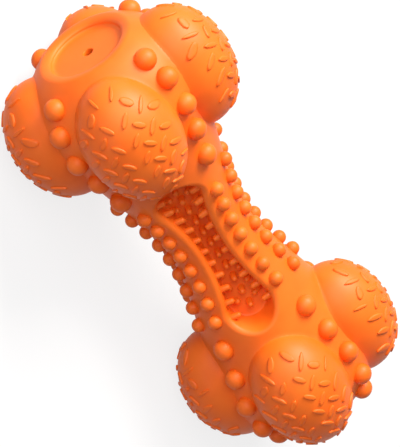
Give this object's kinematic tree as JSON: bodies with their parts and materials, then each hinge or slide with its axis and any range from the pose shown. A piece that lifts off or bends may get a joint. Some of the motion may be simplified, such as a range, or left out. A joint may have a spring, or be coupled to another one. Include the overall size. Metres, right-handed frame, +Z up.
{
  "type": "rubber chew toy bone",
  "caption": "Orange rubber chew bone with lobed textured heads, a nubbed shaft, slots lined with rubber pegs, and a reed squeaker behind a vented disc in each head.",
  "frame": {"origin": "under the middle of the toy, on the surface that it lies on", "axes": "+X along the toy, +Z up, front slot facing -Y and up, lying on two lobes of each head"},
  "size_m": [0.16, 0.0636, 0.0635],
  "materials": {
    "orange_rubber": "satin moulded rubber",
    "squeaker_plastic": "natural polypropylene",
    "reed_brass": "rolled brass strip"
  },
  "bodies": {
    "toy": {"toy_body": "orange_rubber", "end_plug_left": "orange_rubber", "squeaker_barrel_left": "squeaker_plastic", "reed_channel_left": "squeaker_plastic", "reed_wedge_left": "squeaker_plastic", "end_plug_right": "orange_rubber", "squeaker_barrel_right": "squeaker_plastic", "reed_channel_right": "squeaker_plastic", "reed_wedge_right": "squeaker_plastic"},
    "reed_left": {"reed_left": "reed_brass"},
    "reed_right": {"reed_right": "reed_brass"}
  },
  "joints": [
    {"name": "reed_flex_left", "type": "hinge", "parent": "toy", "child": "reed_left", "pos_m": [-0.0585, 0, 0.03235], "axis": [0, 1, 0], "range_deg": [0, 2.5], "stiffness_Nm_per_rad": 0.08},
    {"name": "reed_flex_right", "type": "hinge", "parent": "toy", "child": "reed_right", "pos_m": [0.0585, 0, 0.03235], "axis": [0, -1, 0], "range_deg": [0, 2.5], "stiffness_Nm_per_rad": 0.08}
  ]
}
